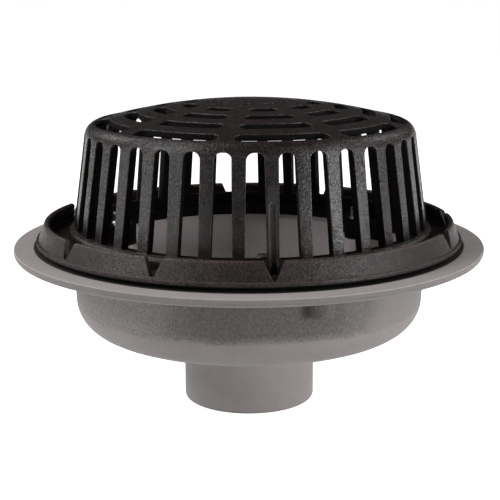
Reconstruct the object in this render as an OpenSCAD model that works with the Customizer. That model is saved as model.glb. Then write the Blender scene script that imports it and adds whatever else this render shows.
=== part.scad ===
// Large-sump roof drain: cast body with a plain outlet spigot, clamp ring with
// integral gravel guard, low dome strainer and three flange-head clamp bolts.
// Origin: centre of the outlet's lower end. +Z up, -Y front. Millimetres.

/* [Body] */
// Outside diameter of the deck flange
flange_d = 406.4; // [396:0.2:440]
// Thickness of the deck flange
flange_t = 9.5; // [7:0.1:11]
// Rounding of the flange's upper edge
flange_top_r = 4; // [2:0.1:4.5]
// Rounding of the flange's lower edge
flange_low_r = 5; // [1:0.1:5.5]
// Height of the flange's top face above the outlet's end
flange_h = 143.5; // [138:0.5:170]
// Room from the bolt circle out to the outside of the sump bowl
bowl_room = 24; // [22:0.5:28]
// Draft of the bowl's side, in degrees
bowl_draft = 2.6; // [0.5:0.1:4]
// Wall thickness of the bowl
bowl_t = 6; // [5:0.1:7]
// Depth of the bowl, flange top to the outer corner of its floor
bowl_deep = 73; // [68:0.5:82]
// Outer rounding between the bowl's side and floor
bowl_corner_r = 30; // [22:0.5:34]
// Fall of the bowl's floor towards the outlet, in degrees
bowl_fall = 11.5; // [8:0.5:14]
// Fillet between the flange and the bowl
bowl_root_r = 5; // [3:0.5:8]

/* [Outlet] */
// Outside diameter of the outlet spigot
outlet_d = 114.3; // [104:0.1:120]
// Wall thickness of the outlet spigot
outlet_t = 6; // [4.5:0.1:7]
// Rounding of the spigot's lower outer edge
outlet_edge_r = 3.6; // [1:0.1:4]
// Fillet where the spigot leaves the bowl
outlet_root_r = 4; // [2:0.5:6]

/* [Clamp ring] */
// Edge of the ring's base outside the guard
ring_edge = 1.8; // [0.6:0.1:8]
// Thickness of the ring's base
ring_t = 4; // [3.5:0.1:6]
// Gap between the ring's skirt and the bowl's wall
skirt_gap = 2.5; // [0.5:0.1:4]
// Radial thickness of the skirt that drops into the sump
skirt_t = 4.5; // [3:0.1:5]
// Drop of the skirt below the flange's top
skirt_drop = 5.9; // [4:0.1:9]
// Height of the gravel guard above the flange's top
guard_h = 19.2; // [15:0.2:26]
// Channel from the dome's foot rim out to the guard's outer face
guard_room = 24.5; // [20:0.1:26]
// Lean of the guard's wall, in degrees
guard_lean = 20; // [14:0.5:24]
// Thickness of the guard's wall
guard_t = 4.6; // [4:0.1:5.5]

/* [Guard notches] */
// Steps round the guard at which a notch may stand
notch_steps = 12; // [10:1:14]
// Lean of the notch's sides from the vertical, in degrees
notch_angle = 24; // [16:1:32]
// Radius of the notch's round bottom
notch_r = 2.8; // [2:0.1:3.4]
// Web left between the notch and the ring's base
notch_sill = 0.9; // [0.6:0.1:2]
// Radius of the lips at the notch's upper corners
notch_lip = 3; // [1.5:0.1:4]

/* [Clamp lugs and bolts] */
// Number of clamp bolts
bolt_n = 3; // [3:1:4]
// Radius of the bolt circle
bolt_circle_r = 128; // [126:0.5:130]
// Thread diameter of the clamp bolt
bolt_d = 9.5; // [8:0.1:10]
// Clearance on diameter of the holes that the bolts pass
bolt_clear = 1.2; // [0.6:0.1:2]
// Width of the ring's lug
lug_w = 50; // [44:1:56]
// Reach of the ring's lug inward of the bolt
lug_reach = 14; // [12.5:0.5:16]
// Drop of the ring's lug below the flange's top
lug_drop = 15.2; // [12:0.2:20]
// Recess of the lug's face below the top of the ring's base
lug_recess = 1.5; // [0.5:0.1:2]
// Radius of the body's lug that takes the bolt
boss_r = 15; // [12.5:0.5:16]
// Height of the body's lug
boss_h = 30; // [25:1:38]
// Gap between the two lugs, which lets the ring clamp down
lug_gap = 1; // [0.6:0.1:2]
// Width across the flats of the bolt's hexagon
hex_af = 14.3; // [13:0.1:16]
// Height of the bolt's hexagon
hex_h = 7.4; // [6:0.1:9]
// Diameter of the bolt's washer flange
washer_d = 20; // [18:0.1:22]
// Height of the bolt's washer flange
washer_h = 3.2; // [2:0.1:4]
// Length of the bolt's shank
bolt_l = 36; // [32:1:40]

/* [Underdeck clamp bosses] */
// Number of bosses under the flange
deck_n = 3; // [3:1:4]
// Radius of a boss
deck_r = 9.6; // [8:0.1:11]
// Distance of the bosses' axes outside the top of the bowl
deck_out = 2.5; // [1:0.5:5]
// Drop of a boss below the flange's top
deck_drop = 32; // [28:0.5:40]
// Turn of the bosses from the clamp bolts, in degrees
deck_turn = 15; // [12:1:30]
// Tapped-hole diameter in a boss
deck_hole_d = 9.7; // [8:0.1:10.5]
// Depth of that hole
deck_hole_h = 20; // [14:0.5:22]

/* [Dome] */
// Height of the dome above the ring's base
dome_h = 116.6; // [112:0.2:130]
// Step from the ring's bore out to the outer face of the dome's side
dome_step = 15.2; // [14:0.1:17]
// Draft of the dome's side, in degrees
dome_draft = 8; // [5:0.1:9]
// Wall thickness of the dome's side
dome_t = 8; // [6.5:0.1:9]
// Thickness of the crown
crown_t = 5; // [4:0.1:8]
// Spherical radius of the crown
crown_r = 500; // [420:5:700]
// Rounding between the side and the crown
shoulder_r = 17; // [14:0.5:22]
// Projection of the foot rim beyond the dome's side
foot_out = 3.2; // [2.4:0.1:6]
// Height of the foot rim's upright edge
foot_h = 5.1; // [4:0.1:9]
// Rounding on top of the foot rim
foot_round = 5; // [3:0.1:6]

/* [Side slots] */
// Number of slots round the side
slot_n = 36; // [28:1:38]
// Rise of the slots' lower ends above the foot rim
slot_rise = 0.2; // [0.2:0.1:3]
// Length of the slots
slot_l = 80.5; // [60:0.5:82]
// Width of a slot at its lower end
slot_w_low = 17.2; // [13:0.1:17.6]
// Width of a slot near its top
slot_w_top = 14; // [12.6:0.1:14.4]
// Rounding of the slot's upper corners
slot_round = 6; // [3:0.1:6.2]

/* [Crown grate] */
// Sectors round the crown
sector_n = 9; // [6:1:10]
// Width of the radial ribs between the sectors
rib_w = 12.5; // [10:0.1:15]
// Distance of the outermost row of arc slots inside the dome's foot
row_in = 22.2; // [22.2:0.1:26]
// Radial pitch of the rows
row_pitch = 24; // [22:0.5:26]
// Radial width of the arc slots
row_w = 12.2; // [9:0.1:13]
// Number of full rows
row_n = 4; // [3:1:4]
// Radius of the staggered ring of short slots
eye_r = 29.5; // [28:0.5:31]
// Radial width of a short slot
eye_w = 6; // [5:0.1:8.5]
// Length of a short slot between its end centres
eye_l = 3; // [2:0.1:6]

/* [Keeper groove] */
// Width of the groove in the bar over the front bolt
groove_w = 5; // [3:0.1:6]
// Depth of that groove
groove_deep = 2; // [1:0.1:3]
// Height of the groove's top above the ring's base
groove_h = 53; // [40:1:60]

/* [Hidden] */
$fn = 96;
eps = 0.01;
over = 1;                                   // how far a cutter runs past a face
tap_clear = 0.2;                            // clearance of the tapped holes on diameter
tap_floor = 4;                              // wall left below the tapped holes
root_share = 0.45;                          // tip of a lug's root, as a share of its radius
root_shift = 4;                             // the root's axis stands this far outward
washer_edge = 0.45;                         // share of the washer flange that is its edge
washer_draft = 1.2;                         // taper of that edge on diameter
hex_lean = 1.5;                             // run to rise of the hexagon's chamfer
slot_reach = 20;                            // the side slots start this far inside
                                            // the shoulder's centre

// radii, from the bolt circle outwards
bowl_r = bolt_circle_r + bowl_room;         // outside of the bowl's mouth
ring_bore_r = bowl_r - bowl_t - skirt_gap - skirt_t;
dome_r = ring_bore_r + dome_step;           // the dome's side at its foot
foot_r = dome_r + foot_out;
guard_foot_r = foot_r + guard_room;
ring_r = guard_foot_r + ring_edge;
deck_circle_r = bowl_r + deck_out;
row_r = dome_r - row_in;                    // outside of the outermost row

flange_r = flange_d / 2;
flange_z = flange_h - flange_t;             // underside of the flange
outlet_r = outlet_d / 2;
outlet_bore_r = outlet_r - outlet_t;
ring_z = flange_h;                          // underside of the ring's base
dome_z = ring_z + ring_t;                   // the dome's foot stands here
lug_top_z = dome_z - lug_recess;
lug_low_z = flange_h - lug_drop;
boss_z = lug_low_z - lug_gap;               // top of the body's lug
bolt_step = 360 / bolt_n;

// Turns what is drawn along +X to the angle a, counted from the front (-Y)
// towards +X.
module at_angle(a) { rotate([0, 0, a - 90]) children(); }

// ---------------------------------------------------------------- body ----
// Outer corner of the bowl's floor, and the two centre lines through it.
bowl_low_z = flange_h - bowl_deep;
bowl_low_r = bowl_r - bowl_deep * tan(bowl_draft);

// Centre of an arc of radius q that touches the bowl's side and floor from
// inside, both drawn in by t.
function bowl_arc(q, t) =
    let (a = bowl_draft, f = bowl_fall,
         // side: (r - s0) cos a - (z - z0) sin a = -(q + t)
         // floor: (z - z0) cos f - (r - s0) sin f = q + t
         d = cos(a) * cos(f) - sin(a) * sin(f),
         u = (-(q + t) * cos(f) + (q + t) * sin(a)) / d,
         v = ((q + t) * cos(a) - (q + t) * sin(f)) / d)
    [bowl_low_r + u, bowl_low_z + v];

// Point of the floor line, drawn in by t, at radius r.
function floor_z(r, t) =
    bowl_low_z - (bowl_low_r - r) * tan(bowl_fall) + t / cos(bowl_fall);
// Radius of the side line, drawn in by t, at height z.
function side_r(z, t) =
    bowl_r - (flange_h - z) * tan(bowl_draft) - t / cos(bowl_draft);

// Half section of the bowl, drawn in by t, from r0 out and up to z1.
module bowl_half(t, z1, r0) {
    q = bowl_corner_r - t;
    c = bowl_arc(q, t);
    side = [c[0] + q * cos(bowl_draft), c[1] - q * sin(bowl_draft)];
    low = [c[0] + q * sin(bowl_fall), c[1] - q * cos(bowl_fall)];
    union() {
        polygon([[r0, floor_z(r0, t)], low, c, side, [side_r(z1, t), z1], [r0, z1]]);
        translate(c) circle(q);
    }
}

// Square block with a quarter circle cut from it: a fillet in the corner at
// the origin that fills towards +r and -z.
module cove(q) {
    difference() {
        translate([-eps, -q]) square([q + eps, q + eps]);
        translate([q, -q]) circle(q);
    }
}

module flange_half() {
    low_r = min(flange_low_r, flange_t - flange_top_r - 0.4);
    translate([outlet_r, flange_z]) union() {
        square([flange_r - low_r - outlet_r, flange_t - flange_top_r]);
        translate([0, low_r])
            square([flange_r - outlet_r, flange_t - low_r - flange_top_r]);
        translate([0, low_r])
            square([flange_r - flange_top_r - outlet_r, flange_t - low_r]);
        translate([flange_r - flange_top_r - outlet_r, flange_t - flange_top_r])
            circle(flange_top_r);
        translate([flange_r - low_r - outlet_r, low_r]) circle(low_r);
    }
}

root_z = floor_z(outlet_r, 0);              // where the spigot meets the bowl

module body_half() {
    difference() {
        union() {
            flange_half();
            bowl_half(0, flange_h, outlet_r - outlet_t);
            translate([side_r(flange_z, 0), flange_z]) cove(bowl_root_r);
            translate([outlet_r, floor_z(outlet_r + outlet_root_r / 2, 0) + eps])
                cove(outlet_root_r);
            translate([outlet_bore_r - over, outlet_edge_r])
                square([outlet_t + over, root_z - outlet_edge_r + bowl_t]);
            translate([outlet_bore_r - over, 0])
                square([outlet_t + over - outlet_edge_r, outlet_edge_r + eps]);
            translate([outlet_r - outlet_edge_r, outlet_edge_r]) circle(outlet_edge_r);
        }
        bowl_half(bowl_t, flange_h + over, outlet_bore_r - over);
        translate([-over, -over])
            square([outlet_bore_r + over, flange_h + 2 * over]);
    }
}

module drain_body() {
    color("#8f8b88")
    difference() {
        union() {
            rotate_extrude() body_half();
            // lugs inside the sump for the clamp bolts, on tapered roots
            for (i = [0 : bolt_n - 1]) at_angle(i * bolt_step)
                intersection() {
                    union() {
                        translate([bolt_circle_r, 0, boss_z - boss_h])
                            cylinder(r = boss_r, h = boss_h);
                        translate([bolt_circle_r, -boss_r, boss_z - boss_h])
                            cube([bowl_r - bolt_circle_r, 2 * boss_r, boss_h]);
                        translate([bolt_circle_r + root_shift, 0, boss_z - boss_h - boss_r])
                            cylinder(r1 = boss_r * root_share, r2 = boss_r, h = boss_r);
                    }
                    rotate_extrude()
                        bowl_half(bowl_t / 2, flange_h, outlet_bore_r);
                }
            // bosses under the flange for the underdeck clamp
            for (i = [0 : deck_n - 1]) at_angle(deck_turn + i * 360 / deck_n)
                difference() {
                    translate([deck_circle_r, 0, flange_h - deck_drop])
                        cylinder(r = deck_r, h = deck_drop - flange_t / 2);
                    translate([0, 0, flange_h - deck_drop - over])
                        cylinder(r = side_r(flange_h - deck_drop, bowl_t / 2),
                                 h = deck_drop + over);
                }
        }
        for (i = [0 : bolt_n - 1]) at_angle(i * bolt_step)
            translate([bolt_circle_r, 0, boss_z - boss_h + tap_floor])
                cylinder(d = bolt_d + tap_clear, h = boss_h);
        for (i = [0 : deck_n - 1]) at_angle(deck_turn + i * 360 / deck_n)
            translate([deck_circle_r, 0, flange_h - deck_drop - over])
                cylinder(d = deck_hole_d, h = deck_hole_h + over);
    }
}

// ---------------------------------------------------------- clamp ring ----
guard_top_z = flange_h + guard_h;
guard_in = (guard_top_z - dome_z) * tan(guard_lean);
guard_top_r = guard_foot_r - guard_in;      // outer radius of the guard's top
guard_tr = guard_t / cos(guard_lean);       // wall thickness along the radius
lug_r = ring_bore_r + 0.75 * skirt_t;       // back of the lugs, inside the skirt

module ring_half() {
    rr = guard_t / 2;
    union() {
        translate([ring_bore_r, ring_z]) square([ring_r - ring_bore_r, ring_t]);
        translate([ring_bore_r, ring_z - skirt_drop])
            square([skirt_t, skirt_drop + eps]);
        // leaning wall, rounded over its top
        polygon([[guard_foot_r - guard_tr, dome_z - eps], [guard_foot_r, dome_z - eps],
                 [guard_top_r + rr * tan(guard_lean), guard_top_z - rr],
                 [guard_top_r + rr * tan(guard_lean) - guard_tr, guard_top_z - rr]]);
        translate([guard_top_r + rr * tan(guard_lean) - guard_tr / 2, guard_top_z - rr])
            circle(rr);
    }
}

// Which of the steps round the guard carry a notch.
blank_steps = [1, 9];
function has_notch(i) = len(search(i, blank_steps)) == 0;

// Notch seen from outside: a round bottom, leaning sides that run into it, and
// round lips that are tangent to the sides.
module notch_2d() {
    a = notch_angle;
    low = [0, dome_z + notch_sill + notch_r];
    n = [cos(a), -sin(a)];                  // out of the right-hand side
    foot = low + 0.96 * notch_r * n;        // just inside the round bottom
    lip_z = guard_top_z - 0.85 * notch_lip;
    lip = [foot[0] + (notch_lip + (lip_z - foot[1]) * sin(a)) / cos(a), lip_z];
    right = [foot, lip - notch_lip * n, lip, [lip[0], guard_top_z + over]];
    left = [for (i = [3 : -1 : 0]) [-right[i][0], right[i][1]]];
    difference() {
        union() {
            translate(low) circle(notch_r);
            polygon(concat(right, left));
        }
        for (s = [-1, 1]) translate([s * lip[0], lip[1]]) circle(notch_lip);
    }
}

module clamp_ring() {
    color("#35302f")
    difference() {
        union() {
            rotate_extrude() ring_half();
            for (i = [0 : bolt_n - 1]) at_angle(i * bolt_step)
                intersection() {
                    translate([0, 0, lug_low_z])
                        cylinder(r = lug_r, h = lug_top_z - lug_low_z);
                    union() {
                        translate([bolt_circle_r, 0, lug_low_z])
                            cylinder(r = lug_reach, h = lug_top_z - lug_low_z);
                        translate([bolt_circle_r, -lug_w / 2, lug_low_z])
                            cube([bolt_circle_r, lug_w, lug_top_z - lug_low_z]);
                    }
                }
        }
        for (i = [0 : notch_steps - 1]) if (has_notch(i))
            at_angle(i * 360 / notch_steps)
                translate([guard_foot_r + over, 0, 0]) rotate([90, 0, -90])
                    linear_extrude(guard_tr + guard_in + 2 * over) notch_2d();
        for (i = [0 : bolt_n - 1]) at_angle(i * bolt_step)
            translate([bolt_circle_r, 0, lug_low_z - over])
                cylinder(d = bolt_d + bolt_clear, h = lug_top_z - lug_low_z + 2 * over);
    }
}

// ---------------------------------------------------------------- dome ----
dome_top_z = dome_z + dome_h;
crown_c = [0, dome_top_z - crown_r];
// unit vectors: out of the side, and up along it
side_n = [cos(dome_draft), sin(dome_draft)];
side_d = [-sin(dome_draft), cos(dome_draft)];
// Centre of a shoulder arc of radius q that touches the side drawn in by a and
// the crown drawn in by b.
function shoulder(a, b, q) =
    let (p = [dome_r, dome_z] - (a + q) * side_n - crown_c,
         h = p * side_d)
    crown_c + p + side_d * (sqrt(h * h - p * p + pow(crown_r - b - q, 2)) - h);

// Half section under the side drawn in by a and the crown drawn in by b, with a
// shoulder of radius q, from z0 up.
module dome_half(a, b, q, z0) {
    c = shoulder(a, b, q);
    side = c + q * side_n;
    crown = crown_c + (c - crown_c) * (crown_r - b) / (crown_r - b - q);
    low = [side[0] + (side[1] - z0) * tan(dome_draft), z0];
    union() {
        polygon([[0, z0], low, side, c, crown, [0, crown[1]]]);
        translate(c) circle(q);
        intersection() {
            translate(crown_c) circle(crown_r - b, $fn = 720);
            translate([0, c[1]]) square([crown[0], dome_h]);
        }
    }
}

module dome_shell_half() {
    foot_in = dome_r - dome_t / cos(dome_draft);
    difference() {
        union() {
            dome_half(0, 0, shoulder_r, dome_z);
            translate([foot_in, dome_z]) square([foot_r - foot_in, foot_h]);
            translate([foot_in, dome_z])
                square([foot_r - foot_round - foot_in, foot_h + foot_round]);
            translate([foot_r - foot_round, dome_z + foot_h]) circle(foot_round);
        }
        dome_half(dome_t, crown_t, shoulder_r - dome_t, dome_z - over);
    }
}

slot_low = foot_h + foot_round + slot_rise;     // above the dome's foot

module slot_2d() {
    top = slot_low + slot_l;
    c = slot_w_top / 2 - slot_round;
    union() {
        polygon([[-slot_w_low / 2, slot_low], [slot_w_low / 2, slot_low],
                 [slot_w_top / 2, top - slot_round], [-slot_w_top / 2, top - slot_round]]);
        for (s = [-1, 1]) translate([s * c, top - slot_round]) circle(slot_round);
        translate([-c, top - slot_round]) square([2 * c, slot_round]);
    }
}

// Cutter for an arc slot between the radii r0 and r1, with round ends, centred
// on +X. The angle a is between the centres of its ends.
module arc_slot(r0, r1, a) {
    union() {
        rotate([0, 0, -a / 2]) rotate_extrude(angle = a)
            translate([r0, 0]) square([r1 - r0, dome_h]);
        for (s = [-1, 1]) rotate([0, 0, s * a / 2])
            translate([(r0 + r1) / 2, 0, 0]) rotate([0, 0, s * 90])
                cylinder(d = r1 - r0, h = dome_h);
    }
}

slot_step = 360 / slot_n;
sector_step = 360 / sector_n;
sector_turn = slot_step / 2;                // ribs stand over the slots' centres
slot_in = shoulder(0, 0, shoulder_r)[0] - slot_reach;
grate_z = dome_z + slot_low + slot_l + over;    // the grate's cutters start here

module dome_strainer() {
    color("#3a3534")
    difference() {
        rotate_extrude() dome_shell_half();
        for (i = [0 : slot_n - 1]) at_angle(slot_step * (i + 0.5))
            translate([slot_in, 0, dome_z]) rotate([90, 0, 90])
                linear_extrude(foot_r + over - slot_in) slot_2d();
        for (k = [0 : row_n - 1]) {
            r1 = row_r - k * row_pitch;
            r0 = r1 - row_w;
            m = (r0 + r1) / 2;
            span = sector_step - 2 * asin((rib_w / 2 + row_w / 2) / m);
            for (i = [0 : sector_n - 1]) at_angle(sector_turn + i * sector_step)
                translate([0, 0, grate_z]) arc_slot(r0, r1, span);
        }
        for (i = [0 : sector_n - 1]) at_angle(sector_turn + (i + 0.5) * sector_step)
            translate([0, 0, grate_z])
                arc_slot(eye_r - eye_w / 2, eye_r + eye_w / 2, eye_l / eye_r * 180 / PI);
        // groove down the bar over the front bolt
        at_angle(0) translate([dome_r - groove_deep, 0, dome_z]) rotate([0, -dome_draft, 0])
            union() {
                translate([0, -groove_w / 2, -over])
                    cube([foot_r, groove_w, groove_h - groove_w / 2 + over]);
                translate([0, 0, groove_h - groove_w / 2]) rotate([0, 90, 0])
                    cylinder(d = groove_w, h = foot_r);
            }
    }
}

// --------------------------------------------------------------- bolts ----
module clamp_bolt(i) {
    edge_h = washer_h * washer_edge;
    color("#c9ccd0")
    at_angle(i * bolt_step) translate([bolt_circle_r, 0, lug_top_z])
        union() {
            cylinder(d1 = washer_d, d2 = washer_d - washer_draft, h = edge_h);
            translate([0, 0, edge_h - eps])
                cylinder(d1 = washer_d - washer_draft, d2 = hex_af,
                         h = washer_h - edge_h + eps);
            intersection() {
                translate([0, 0, washer_h - eps]) rotate([0, 0, 15])
                    cylinder(r = hex_af / 2 / cos(30), h = hex_h + eps, $fn = 6);
                // chamfer of the hexagon's corners
                cylinder(r1 = hex_af / 2 + (washer_h + hex_h) * hex_lean, r2 = hex_af / 2,
                         h = washer_h + hex_h);
            }
            translate([0, 0, -bolt_l]) cylinder(d = bolt_d, h = bolt_l + eps);
        }
}
module clamp_bolt_front() { clamp_bolt(0); }
module clamp_bolt_right() { clamp_bolt(1); }
module clamp_bolt_left() { clamp_bolt(2); }

drain_body();
clamp_ring();
dome_strainer();
clamp_bolt_front();
clamp_bolt_right();
clamp_bolt_left();
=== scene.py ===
from math import cos, radians, sin

import bmesh
import bpy
import numpy as np
from mathutils import Matrix, Vector


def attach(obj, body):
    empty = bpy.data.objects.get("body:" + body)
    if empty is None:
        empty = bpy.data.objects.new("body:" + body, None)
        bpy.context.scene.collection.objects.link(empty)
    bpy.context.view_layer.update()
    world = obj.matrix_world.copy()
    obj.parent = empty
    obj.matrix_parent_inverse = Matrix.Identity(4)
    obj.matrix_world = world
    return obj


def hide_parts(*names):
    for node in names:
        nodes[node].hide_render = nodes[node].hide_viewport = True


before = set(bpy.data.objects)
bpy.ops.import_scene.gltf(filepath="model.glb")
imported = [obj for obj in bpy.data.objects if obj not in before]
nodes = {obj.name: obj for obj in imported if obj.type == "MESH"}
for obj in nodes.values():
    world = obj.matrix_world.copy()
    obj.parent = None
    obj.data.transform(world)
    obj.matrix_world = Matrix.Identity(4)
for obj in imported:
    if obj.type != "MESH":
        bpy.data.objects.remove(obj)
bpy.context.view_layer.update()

bpy.context.scene.view_settings.view_transform = "Standard"
print("frame loaded:", ", ".join(sorted(nodes)))


class Wire:
    # An output socket. Arithmetic on it adds Math nodes to its graph.
    def __init__(self, graph, socket):
        self.graph, self.socket = graph, socket

    def math(self, operation, *others):
        values = {i: v for i, v in enumerate((self, *others))}
        return self.graph.add("ShaderNodeMath", {"operation": operation}, values)

    def __add__(self, other):
        return self.math("ADD", other)

    def __sub__(self, other):
        return self.math("SUBTRACT", other)

    def __mul__(self, other):
        return self.math("MULTIPLY", other)

    def __rsub__(self, other):
        return self.graph.add("ShaderNodeMath", {"operation": "SUBTRACT"}, {0: other, 1: self})

    def __pow__(self, other):
        return self.math("POWER", other)

    __radd__, __rmul__ = __add__, __mul__

    def ramp(self, low, high, toLow=0.0, toHigh=1.0):
        # Smooth change from toLow to toHigh as the value goes from low to high.
        settings = {"interpolation_type": "SMOOTHSTEP"}
        values = {0: self, 1: low, 2: high, 3: toLow, 4: toHigh}
        return self.graph.add("ShaderNodeMapRange", settings, values)

    def above(self, limit, soft):
        # 1 above the limit and 0 below it, changing from soft under it to soft over it.
        return self.ramp(limit - soft, limit + soft)

    def below(self, limit, soft):
        return self.ramp(limit + soft, limit - soft)

    def times(self, tone):
        # For a mask: tone where it is 1, and 1 where it is 0.
        return self * (tone - 1) + 1


class Graph:
    # The nodes of one material or of the world.
    def __init__(self, owner):
        owner.use_nodes = True
        self.tree = owner.node_tree
        self.tree.nodes.clear()

    def add(self, kind, settings=None, values=None, out=0):
        node = self.tree.nodes.new(kind)
        for name, value in (settings or {}).items():
            setattr(node, name, value)
        for name, value in (values or {}).items():
            if isinstance(value, Wire):
                self.tree.links.new(value.socket, node.inputs[name])
            else:
                node.inputs[name].default_value = value
        return Wire(self, node.outputs[out]) if len(node.outputs) else node

    def place(self):
        # Object coordinates.
        return self.add("ShaderNodeTexCoord", out="Object")

    def parts(self, vector):
        # The x, y and z of a vector.
        split = self.add("ShaderNodeSeparateXYZ", None, {0: vector}).socket.node.outputs
        return Wire(self, split[0]), Wire(self, split[1]), Wire(self, split[2])

    def noise(self, place, scale, detail=2.0, roughness=0.5):
        values = {"Vector": place, "Scale": scale, "Detail": detail, "Roughness": roughness}
        return self.add("ShaderNodeTexNoise", None, values)

    def mixColour(self, factor, first, second):
        # Inputs 0, 6 and 7 of a Mix node are the factor and its two colours.
        values = {0: factor, 6: first, 7: second}
        return self.add("ShaderNodeMix", {"data_type": "RGBA"}, values, out=2)


def grey(level, warm=0.0):
    # A grey, pulled a little towards red.
    return (level * (1 + warm), level, level * (1 - 0.25 * warm), 1.0)


# Angles in degrees, lengths in metres. The azimuth counts from the front bolt.
shot = {
    "azimuth": -6.2,
    "elevation": 12.558,
    "roll": -0.151,
    "distance": 1.1307,
    "aim": (0.0010, 0.0, 0.13205),
    "lens": 92.68,
}


def makeCamera():
    rise, roll = radians(shot["elevation"]), radians(shot["roll"])
    ahead, right = Vector((0, cos(rise), -sin(rise))), Vector((1, 0, 0))
    up = right.cross(ahead)
    rolledRight = cos(roll) * right + sin(roll) * up
    rolledUp = cos(roll) * up - sin(roll) * right
    place = Matrix((rolledRight, rolledUp, -ahead)).transposed().to_4x4()
    place.translation = Vector(shot["aim"]) - ahead * shot["distance"]
    data = bpy.data.cameras.new("productCamera")
    data.lens, data.clip_start, data.clip_end = shot["lens"], 0.05, 100
    camera = bpy.data.objects.new("productCamera", data)
    camera.matrix_world = Matrix.Rotation(radians(shot["azimuth"]), 4, "Z") @ place
    bpy.context.scene.collection.objects.link(camera)
    bpy.context.scene.camera = camera


# Soft boxes round the drain. Azimuth 0 is on the camera's side, positive to its right.
lampStand = {"centre": (0, 0, 0.14), "distance": 2.2, "width": 0.8}
lamps = {
    "leftKey": {"azimuth": -63, "elevation": 35, "height": 0.8, "watts": 20},
    "leftHigh": {"azimuth": -90, "elevation": 65, "height": 0.8, "watts": 7},
    "rightKey": {"azimuth": 60, "elevation": 35, "height": 0.8, "watts": 9},
    "leftLow": {"azimuth": -62, "elevation": 8, "height": 0.5, "watts": 6},
    "rightLow": {"azimuth": 57, "elevation": 6, "height": 0.5, "watts": 21},
    "leftRim": {"azimuth": -90, "elevation": 8, "height": 0.5, "watts": 2.5},
    "rightRim": {"azimuth": 90, "elevation": 8, "height": 0.5, "watts": 2.5},
    "backLeft": {"azimuth": -120, "elevation": 35, "height": 0.8, "watts": 9},
    "backRight": {"azimuth": 120, "elevation": 35, "height": 0.8, "watts": 7},
}


def makeLamps():
    centre = Vector(lampStand["centre"])
    for name, lamp in lamps.items():
        turn = radians(lamp["azimuth"] + shot["azimuth"])
        rise = radians(lamp["elevation"])
        towards = Vector((sin(turn) * cos(rise), -cos(turn) * cos(rise), sin(rise)))
        data = bpy.data.lights.new(name, "AREA")
        data.shape, data.energy = "RECTANGLE", lamp["watts"]
        data.size, data.size_y = lampStand["width"], lamp["height"]
        light = bpy.data.objects.new(name, data)
        light.location = centre + towards * lampStand["distance"]
        light.rotation_euler = towards.to_track_quat("Z", "Y").to_euler()
        bpy.context.scene.collection.objects.link(light)


surround = {"level": 0.06}


def makeWorld():
    world = bpy.data.worlds.new("paleStudio")
    bpy.context.scene.world = world
    graph = Graph(world)
    sky = graph.add("ShaderNodeBackground", None,
                    {"Color": grey(1.0), "Strength": surround["level"]})
    graph.add("ShaderNodeOutputWorld", None, {"Surface": sky})


# The floor glows only where it is seen, directly or in a reflection, so that it
# shows white and still takes the drain's shadow.
floorLook = {"half": 30.0, "colour": 0.75, "glow": 0.96}


def seenDirectly(graph):
    # 1 where the ray comes from the camera, a reflection or a refraction.
    outs = graph.add("ShaderNodeLightPath").socket.node.outputs
    camera, glossy, through = [
        Wire(graph, outs[n]) for n in ("Is Camera Ray", "Is Glossy Ray", "Is Transmission Ray")]
    return (camera + glossy + through).math("MINIMUM", 1.0)


def makeFloor():
    half = floorLook["half"]
    corners = [(-half, -half, 0), (half, -half, 0), (half, half, 0), (-half, half, 0)]
    mesh = bpy.data.meshes.new("studioFloor")
    mesh.from_pydata(corners, [], [(0, 1, 2, 3)])
    floor = bpy.data.objects.new("studioFloor", mesh)
    bpy.context.scene.collection.objects.link(floor)
    material = bpy.data.materials.new("paleFloor")
    graph = Graph(material)
    plain = graph.add("ShaderNodeBsdfDiffuse", None, {"Color": grey(floorLook["colour"])})
    glow = graph.add("ShaderNodeEmission", None,
                     {"Color": grey(1.0), "Strength": floorLook["glow"]})
    shown = graph.add("ShaderNodeAddShader", None, {0: plain, 1: glow})
    surface = graph.add("ShaderNodeMixShader", None, {0: seenDirectly(graph), 1: plain, 2: shown})
    graph.add("ShaderNodeOutputMaterial", None, {"Surface": surface})
    mesh.materials.append(material)


makeCamera()
makeLamps()
makeWorld()
makeFloor()
print("camera, lamps and floor made")


# What the castings' finishes share.
sandLook = {
    "fineShare": 0.25,        # share of the finer grain, and how much finer it is
    "finer": 2.7,
    "patchScale": 0.22,       # patches of tone, against the lumps
    "lumpShare": 0.4,         # share of the lumps in the patches
    "edgeSamples": 6,
    "roughSpread": 0.1,       # roughness either way, with the grain
    "edgePolish": 0.08,       # how much smoother the knocked edges are
}
# The dark, dull coat of the pits, also laid as painted shade where a zone leaves out the bright coat.
dullPitsAndShade = {"base": 0.004, "warm": 0.1, "roughness": 0.8, "specular": 0.12}


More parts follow.
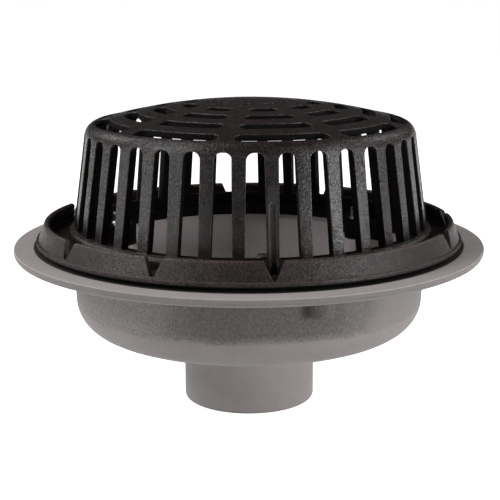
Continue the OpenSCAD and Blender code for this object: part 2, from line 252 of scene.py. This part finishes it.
def castingMaterial(look, zones):
    # Sand-cast iron: fine grain and shallow lumps as bump, mottled colour, and
    # paler, smoother edges where the grain has been knocked off, their paleness partly
    # wear and partly painted highlight. zones gives the tone and grain over the surface,
    # and where the bright coat shows; some of its tones, and the dull coat where the
    # bright one doesn't show, are painted light and shade.
    material = bpy.data.materials.new(look["name"])
    graph = Graph(material)
    place = graph.place()
    zone = zones(graph, place)
    grain = graph.noise(place, 1 / look["grainSize"], 2.5, 0.6)
    fine = graph.noise(place, sandLook["finer"] / look["grainSize"], 1.0, 0.5)
    lumps = graph.noise(place, 1 / look["lumpSize"], 2.0, 0.5)
    patches = graph.noise(place, sandLook["patchScale"] / look["lumpSize"], 3.0, 0.6)
    # the surface as it would be with every edge rounded over
    soft = graph.add("ShaderNodeBevel", {"samples": sandLook["edgeSamples"]},
                     {"Radius": look["edgeWidth"]})
    face = graph.add("ShaderNodeNewGeometry", out="Normal")
    along = graph.add("ShaderNodeVectorMath", {"operation": "DOT_PRODUCT"}, {0: soft, 1: face}, out=1)
    edge = along.ramp(0.99, 0.80)
    sand = grain * (1 - sandLook["fineShare"]) + fine * sandLook["fineShare"]
    height = sand * look["grainDepth"] * zone["grain"] + lumps * look["lumpDepth"]
    bump = graph.add("ShaderNodeBump", None,
                     {"Height": height * 1000, "Distance": 0.001, "Strength": 1.0, "Normal": soft})
    tone = patches * (1 - sandLook["lumpShare"]) + lumps * sandLook["lumpShare"]
    shade = tone.ramp(0.3, 0.7, 1 - look["mottle"], 1 + look["mottle"])
    shade = shade * (1 + grain.ramp(0.35, 0.65, -look["speckle"], look["speckle"]) * zone["grain"])
    # edges made paler, partly as wear and partly as a painted highlight; the zone's tone adds painted
    # light and shade
    shade = shade * (1.0 + edge * look["edgeWearAndHighlight"]) * zone["tone"]
    # shades of up to four times the base colour
    dark, light = grey(0.0), grey(look["base"] * 4, look["warm"])
    colour = graph.mixColour(shade * 0.25, dark, light)
    spread = sandLook["roughSpread"]
    rough = grain.ramp(0.3, 0.7, look["roughness"] + spread, look["roughness"] - spread)
    rough = rough - edge * sandLook["edgePolish"]
    surface = graph.add("ShaderNodeBsdfPrincipled", None, {
        "Base Color": colour, "Roughness": rough, "Specular IOR Level": look["specular"],
        "Normal": bump})
    if zone["shown"]:
        # dull pits between the sand grains, in patches; the same dark, dull coat is painted shade
        # wherever the zone leaves out the bright coat
        pits = grain.below(0.49, 0.09) * patches.ramp(0.38, 0.62, 0.2, 1.0)
        bare = 1 - pits * look["pits"]
        dull = graph.add("ShaderNodeBsdfPrincipled", None, {
            "Base Color": grey(dullPitsAndShade["base"], dullPitsAndShade["warm"]),
            "Roughness": dullPitsAndShade["roughness"], "Specular IOR Level": dullPitsAndShade["specular"],
            "Normal": bump})
        surface = graph.add("ShaderNodeMixShader", None,
                            {0: zone["shown"] * bare, 1: dull, 2: surface})
    graph.add("ShaderNodeOutputMaterial", None, {"Surface": surface})
    return material


def depthUnder(side, end, corner):
    # Depth below a surface whose side and end meet in a round corner. side and end
    # are the depths below each: corner - sqrt(max(corner - side, 0)^2 + max(corner - end, 0)^2)
    across = (corner - side).math("MAXIMUM", 0.0)
    along = (corner - end).math("MAXIMUM", 0.0)
    return corner - (across * across + along * along) ** 0.5


def dress(nodeName, material):
    mesh = nodes[nodeName].data
    if not mesh.materials:
        mesh.materials.append(material)
    for slot in nodes[nodeName].material_slots:
        slot.material = material


def mergedCopy(nodeName, name):
    # A copy of a CAD node's mesh with its triangles joined up, and its points.
    work = bmesh.new()
    work.from_mesh(nodes[nodeName].data)
    bmesh.ops.remove_doubles(work, verts=work.verts, dist=2e-6)
    mesh = bpy.data.meshes.new(name)
    work.to_mesh(mesh)
    work.free()
    if "custom_normal" in mesh.attributes:
        mesh.attributes.remove(mesh.attributes["custom_normal"])
    places = np.empty(len(mesh.vertices) * 3, dtype=np.float32)
    mesh.vertices.foreach_get("co", places)
    piece = bpy.data.objects.new(name, mesh)
    bpy.context.scene.collection.objects.link(piece)
    return piece, places.reshape(-1, 3)


def smoothShare(values, low, high):
    # 0 up to low, 1 from high, and 3 s^2 - 2 s^3 of the share s of the way between.
    share = np.clip((values - low) / (high - low), 0, 1)
    return share * share * (3 - 2 * share)


def smoothBand(values, stops):
    # Rises between the first two stops and falls between the last two.
    return smoothShare(values, *stops[:2]) * (1 - smoothShare(values, *stops[2:]))


def moveOut(places, radius, distance):
    # Moves each point away from the Z axis by its own distance.
    places[:, :2] *= (1 + distance / np.maximum(radius, 0.01))[:, None]


def setPlaces(piece, places):
    piece.data.vertices.foreach_set("co", places.ravel())
    piece.data.update()


def finishCopy(piece, nodeName, look, zones):
    piece.data.shade_smooth()
    piece.data.set_sharp_from_angle(angle=radians(28))
    piece.data.materials.clear()
    piece.data.materials.append(castingMaterial(look, zones))
    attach(piece, "root")
    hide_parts(nodeName)


def turnedRing(name, profile, count):
    # A closed outline of (radius, height) points turned round the Z axis:
    # (radius cos t, radius sin t, height) for t in count equal steps.
    radius, height = np.array(profile).T
    turn = np.linspace(0, 2 * np.pi, count, endpoint=False)
    places = np.stack((np.outer(np.cos(turn), radius), np.outer(np.sin(turn), radius),
                       np.tile(height, (count, 1))), -1)
    step, along = np.meshgrid(np.arange(count), np.arange(len(radius)), indexing="ij")
    nextStep, nextAlong = (step + 1) % count, (along + 1) % len(radius)
    faces = np.stack((step * len(radius) + along, nextStep * len(radius) + along,
                      nextStep * len(radius) + nextAlong, step * len(radius) + nextAlong), -1)
    mesh = bpy.data.meshes.new(name)
    mesh.from_pydata(places.reshape(-1, 3).tolist(), [], faces.reshape(-1, 4).tolist())
    work = bmesh.new()
    work.from_mesh(mesh)
    bmesh.ops.recalc_face_normals(work, faces=work.faces)
    work.to_mesh(mesh)
    work.free()
    piece = bpy.data.objects.new(name, mesh)
    bpy.context.scene.collection.objects.link(piece)
    return piece


# The drain's body. The clamp ring's rim stands clear of the deck flange, whose
# top is cut along a plane that rises by tilt towards the rear.
deckFlange = {
    "seatRadius": 0.1665, "top": 0.1416, "tilt": 0.0064,
    "drop": 0.0017, "draw": 0.0035, "dropFrom": 0.166, "dropTo": 0.19,
    "lowerPart": (0.125, 0.1395),             # heights between which points are moved
    "dropOver": 0.003, "drawOver": 0.0055,    # depths at which drop and draw are whole
    "bowlOut": 0.0014, "bowlBand": (0.095, 0.135, 0.158, 0.167),
    "cutRadius": 0.22, "cutTop": 0.16, "cutSteps": 256,
}
greyIron = {
    "name": "greySandCasting", "slot": "grey_casting", "base": 0.275, "warm": 0.085,
    "roughness": 0.62, "specular": 0.35, "mottle": 0.04, "speckle": 0.07,
    "grainSize": 0.0016, "grainDepth": 0.00022, "lumpSize": 0.012, "lumpDepth": 0.0004,
    "edgeWidth": 0.0009, "edgeWearAndHighlight": 0.35,
}
bodyZone = {
    # the bowl: its mouth, its wall's lean, its floor round the outlet, its corner
    "mouthRadius": 0.152, "mouthHeight": 0.1435, "wallSlope": 0.0454, "corner": 0.030,
    "floorHeight": 0.059, "floorSlope": 0.18, "outletRadius": 0.057,
    # the sump's inside is made lighter as painted light
    "insideDepth": 0.003, "insideLightTone": 3.0,
    # the outside of the wall, up to the flange, and the mould seam round it
    "wallTop": 0.1332, "wallRadius": 0.171, "seam": 0.0905, "seamWaver": 0.005,
    # the wall's front is darkened further as painted shade
    "roughTone": 0.88, "frontShadeTone": 0.46, "frontShadeEdge": 0.1295, "frontShadeWaver": 0.03,
    "smoothGrain": 0.3, "roughGrain": 2.6, "smoothRight": 0.08,
    # the flange: the ring's shadow painted dark next to it, its top made lighter as painted light and
    # its side darker as painted shade
    "ringShadowRadius": 0.1862, "ringShadowDepth": 0.00145, "ringShadowTone": 0.05,
    "topDepth": 0.00055, "topLightTone": 1.45, "sideRadius": 0.1995, "sideShadeTone": 0.74,
    "partingLine": 0.1362, "partingHalf": 0.00035, "partingTone": 0.75,
    # the spigot is made lighter as painted light
    "spigotTop": 0.0565, "spigotLightTone": 1.15,
}


def bodyZones(graph, place):
    # The wall above the wavy mould seam is darker and rough, and its front is
    # darkened further as painted shade. The flange's top is made lighter as painted
    # light, its side darker as painted shade, and the ring's shadow is painted on it;
    # the sump's inside and the spigot are made lighter as painted light. The right
    # side and the rest are smooth.
    zone = bodyZone
    x, y, z = graph.parts(place)
    radius = (x * x + y * y) ** 0.5
    wallFoot = zone["mouthRadius"] + deckFlange["bowlOut"] - zone["mouthHeight"] * zone["wallSlope"]
    wall = z * zone["wallSlope"] + wallFoot
    bottom = (radius - zone["outletRadius"]).math("MAXIMUM", 0.0)
    bottom = bottom * zone["floorSlope"] + zone["floorHeight"]
    inside = depthUnder(wall - radius, z - bottom, zone["corner"]).above(zone["insideDepth"], 0.0005)
    waver = graph.noise(place, 22, 3.0, 0.6) - 0.5
    level = z - waver * (2 * zone["seamWaver"])
    outside = z.below(zone["wallTop"], 0.0006) * radius.below(zone["wallRadius"], 0.001) * (1 - inside)
    rough = level.above(zone["seam"], 0.001) * outside
    # the wall's front, darkened further as painted shade
    front = level.above(zone["seam"] + 0.002, 0.005) * outside
    front = front * (y * -1 + waver * zone["frontShadeWaver"]).above(zone["frontShadeEdge"], 0.0175)
    overTop = z - y * deckFlange["tilt"] - deckFlange["top"]
    # the ring's shadow, painted dark on the flange's top next to the ring
    ringShadow = radius.below(zone["ringShadowRadius"], 0.0006) * overTop.above(-zone["ringShadowDepth"], 0.00035)
    # the flange's top, made lighter as painted light, and its side, made darker as painted shade
    top = overTop.above(-zone["topDepth"], 0.00015) * (1 - inside)
    side = radius.above(zone["sideRadius"], 0.001) * (1 - top)
    broken = graph.noise(place, 45, 2.0, 0.5).above(0.525, 0.075)
    offLine = (z - zone["partingLine"]).math("ABSOLUTE")
    line = offLine.below(zone["partingHalf"], 0.00015) * side * broken
    # the spigot, made lighter as painted light
    spigot = z.below(zone["spigotTop"], 0.0015)
    # the rough wall's own darker tone, and its front darkened further as painted shade
    tone = rough.times(zone["roughTone"]) * front.times(zone["frontShadeTone"])
    # the sump's inside and the spigot made lighter as painted light
    tone = tone * inside.times(zone["insideLightTone"]) * spigot.times(zone["spigotLightTone"])
    # the flange's top made lighter as painted light and its side darker as painted shade
    tone = tone * top.times(zone["topLightTone"]) * side.times(zone["sideShadeTone"])
    # the ring's shadow painted dark on the flange; the parting line is a dark line of the casting's
    # own
    tone = tone * ringShadow.times(zone["ringShadowTone"]) * line.times(zone["partingTone"])
    grain = rough * x.below(zone["smoothRight"], 0.02)
    grain = grain * (zone["roughGrain"] - zone["smoothGrain"]) + zone["smoothGrain"]
    return {"tone": tone, "grain": grain, "shown": None}


def makeBody():
    # The CAD body with its flange's top turned down outside the seat, and its
    # underside let down and its lower corner drawn in by a weight that grows
    # smoothly with the radius and from the flange's side to its underside.
    flange = deckFlange
    piece, places = mergedCopy("drain_body", "drainCasting")
    radius, height = np.hypot(places[:, 0], places[:, 1]), places[:, 2]
    share = smoothShare(radius, flange["dropFrom"], flange["dropTo"])
    lowest, highest = flange["lowerPart"]
    low = np.clip((highest - height) / flange["dropOver"], 0, 1) * (height > lowest)
    corner = np.clip((highest - height) / flange["drawOver"], 0, 1) ** 2 * (height > lowest)
    bowl = smoothBand(radius, flange["bowlBand"])
    places[:, 2] -= flange["drop"] * share * low
    moveOut(places, radius, flange["bowlOut"] * bowl - flange["draw"] * share * corner)
    setPlaces(piece, places)
    seat, top, out, high = (flange[n] for n in ("seatRadius", "top", "cutRadius", "cutTop"))
    cutter = turnedRing("flangeCut", [(seat, top), (out, top), (out, high), (seat, high)],
                        flange["cutSteps"])
    tilt = Matrix.Identity(4)
    tilt[2][1] = flange["tilt"]
    cutter.data.transform(tilt)
    cut = piece.modifiers.new("turnDown", "BOOLEAN")
    cut.operation, cut.solver, cut.object = "DIFFERENCE", "EXACT", cutter
    bpy.context.view_layer.update()
    finished = piece.evaluated_get(bpy.context.evaluated_depsgraph_get())
    finished = bpy.data.meshes.new_from_object(finished)
    piece.modifiers.clear()
    piece.data = finished
    bpy.data.objects.remove(cutter)
    finishCopy(piece, "drain_body", greyIron, bodyZones)


makeBody()
print("drain body made")

# The clamp ring keeps its CAD shape.
blackRing = {
    "name": "blackRingCasting", "slot": "black_ring_casting", "base": 0.013, "warm": 0.45,
    "roughness": 0.38, "specular": 0.4, "mottle": 0.4, "speckle": 0.8, "pits": 0.38,
    "grainSize": 0.00125, "grainDepth": 0.0005, "lumpSize": 0.010, "lumpDepth": 0.0006,
    "edgeWidth": 0.0011, "edgeWearAndHighlight": 8.0,
}
ringZone = {
    # the rim's and the lip's paler tones are painted highlights
    "rim": 0.1615, "rimRadius": 0.1605, "rimHighlightTone": 5.0,
    "lip": 0.1473, "lipHalf": 0.0005, "lipRadius": 0.1812, "lipHighlightTone": 3.0,
    # under the dome and below the lower edge the dull coat is painted shade
    "domeRadius": 0.1555, "lowerEdge": 0.1446,
}


def ringZones(graph, place):
    # What lies under the dome, and the rim's lower edge, keep the dark, dull coat as
    # painted shade. The guard's top edge and the lip's upper edge carry a patchy
    # painted highlight.
    zone = ringZone
    x, y, z = graph.parts(place)
    radius = (x * x + y * y) ** 0.5
    # patches in which the painted highlight shows
    highlightPatches = graph.noise(place, 60, 2.0, 0.5).ramp(0.35, 0.6, 0.4, 1.0)
    rim = z.above(zone["rim"], 0.0005) * radius.above(zone["rimRadius"], 0.0005)
    lip = (z - zone["lip"]).math("ABSOLUTE").below(zone["lipHalf"], 0.0002)
    lip = lip * radius.above(zone["lipRadius"], 0.0005)
    pale = rim * (zone["rimHighlightTone"] - 1) + lip * (zone["lipHighlightTone"] - 1)
    # the dull coat under the dome and below the rim's lower edge is painted shade
    shown = radius.above(zone["domeRadius"], 0.001) * z.above(zone["lowerEdge"], 0.0005)
    return {"tone": 1 + pale * highlightPatches, "grain": 1.0, "shown": shown}


dress("clamp_ring", castingMaterial(blackRing, ringZones))
print("clamp ring dressed")

# The dome strainer. Turns are in degrees and stops of an angle in radians, both
# counted from the front bolt towards the right.
domeSeat = {
    "shift": (0.0014, -0.0001), "turn": -0.285, "frontTurn": 0.665,
    "rearTurn": -1.65, "rearBand": (-2.72, -2.55, -2.0, -1.8),
    "slotOut": 0.0021, "slotBand": (0.1215, 0.131, 0.134, 0.146), "slotHeights": (0.232, 0.239),
}
blackDome = {
    "name": "blackDomeCasting", "slot": "black_dome_casting", "base": 0.013, "warm": 0.45,
    "roughness": 0.27, "specular": 0.5, "mottle": 0.45, "speckle": 0.9, "pits": 0.75,
    "grainSize": 0.00135, "grainDepth": 0.0005, "lumpSize": 0.010, "lumpDepth": 0.0006,
    "edgeWidth": 0.0011, "edgeWearAndHighlight": 8.0,
}
domeZone = {
    # the outside: the side at its foot and its lean, the crown's top, the shoulder
    "footRadius": 0.1542, "footHeight": 0.1475, "wallSlope": 0.14054,
    "crownTop": 0.2641, "shoulder": 0.017, "skin": 0.00075,
    # the groove down the front bar
    "grooveHalf": 0.0038, "grooveDepth": 0.0026, "grooveTop": 0.214, "grooveFront": 0.1225,
    # the bars at the front, given more of the dull coat as painted shade
    "shadedBarsMiddle": -0.012, "shadedBarsHalf": 0.04, "shadedBarsFront": 0.11, "shadedBarsTop": 0.2375,
    "shadedBarsCoat": 0.55,
}


def domeZones(graph, place):
    # Only the outside keeps the bright coat; the slots' walls and the inside get the
    # dark, dull coat as painted shade, apart from the front groove. The bars at the
    # front get more of it too, as painted shade.
    zone = domeZone
    x, y, z = graph.parts(place)
    x, y = x - domeSeat["shift"][0], y - domeSeat["shift"][1]
    square = x * x + y * y
    wall = zone["footRadius"] - (z - zone["footHeight"]) * zone["wallSlope"]
    crown = zone["crownTop"] - square    # a 0.5 m sphere falls by the radius squared
    depth = depthUnder(wall - square ** 0.5, crown - z, zone["shoulder"])
    # inside the skin the dark, dull coat is painted shade
    skin = depth.below(zone["skin"], 0.00035)
    frontTurn = radians(domeSeat["turn"] + domeSeat["frontTurn"])
    groove = (x + y * frontTurn).math("ABSOLUTE").below(zone["grooveHalf"], 0.0002)
    groove = groove * depth.below(zone["grooveDepth"], 0.0002)
    groove = groove * y.below(-zone["grooveFront"], 0.0025) * z.below(zone["grooveTop"], 0.001)
    # the bars at the front, with more of the dull coat as painted shade
    dull = (x - zone["shadedBarsMiddle"]).math("ABSOLUTE").below(zone["shadedBarsHalf"], 0.01)
    dull = dull * y.below(-zone["shadedBarsFront"], 0.01) * z.below(zone["shadedBarsTop"], 0.0075)
    skin = skin * dull.times(zone["shadedBarsCoat"])
    return {"tone": 1.0, "grain": 1.0, "shown": skin.math("MAXIMUM", groove)}


def makeDome():
    # The CAD dome with the outer edge of its outermost crown slots moved out, by a
    # smooth bump over the radius, its bars let round by an angle that goes with the
    # cosine of their place and more at the rear left, and all of it shifted a little.
    piece, places = mergedCopy("dome_strainer", "domeCasting")
    radius, height = np.hypot(places[:, 0], places[:, 1]), places[:, 2]
    bump = smoothBand(radius, domeSeat["slotBand"])
    moveOut(places, radius, domeSeat["slotOut"] * bump * smoothShare(height, *domeSeat["slotHeights"]))
    angle = np.arctan2(places[:, 0], -places[:, 1])
    rearLeft = smoothBand(angle, domeSeat["rearBand"])
    angle += radians(domeSeat["turn"]) + radians(domeSeat["frontTurn"]) * np.cos(angle)
    angle += radians(domeSeat["rearTurn"]) * rearLeft
    radius = np.hypot(places[:, 0], places[:, 1])
    places[:, 0] = radius * np.sin(angle) + domeSeat["shift"][0]
    places[:, 1] = domeSeat["shift"][1] - radius * np.cos(angle)
    setPlaces(piece, places)
    finishCopy(piece, "dome_strainer", blackDome, domeZones)


makeDome()
print("dome strainer made")

zinc = {"base": 0.62, "roughness": 0.3, "smoother": 0.06, "rougher": 0.1, "cloudScale": 500}


def zincMaterial():
    # Bright zinc plate with fine clouds in its tone and polish.
    material = bpy.data.materials.new("brightZinc")
    graph = Graph(material)
    cloud = graph.noise(graph.place(), zinc["cloudScale"], 2.0, 0.6)
    smooth, dull = zinc["roughness"] - zinc["smoother"], zinc["roughness"] + zinc["rougher"]
    rough = cloud.ramp(0.3, 0.7, smooth, dull)
    colour = graph.mixColour(cloud.ramp(0.3, 0.7), grey(zinc["base"] * 0.85), grey(zinc["base"] * 1.1))
    surface = graph.add("ShaderNodeBsdfPrincipled", None, {
        "Base Color": colour, "Roughness": rough, "Metallic": 1.0})
    graph.add("ShaderNodeOutputMaterial", None, {"Surface": surface})
    return material


boltZinc = zincMaterial()
for nodeName in nodes:
    if nodeName.startswith("clamp_bolt"):
        dress(nodeName, boltZinc)
print("bolts dressed")
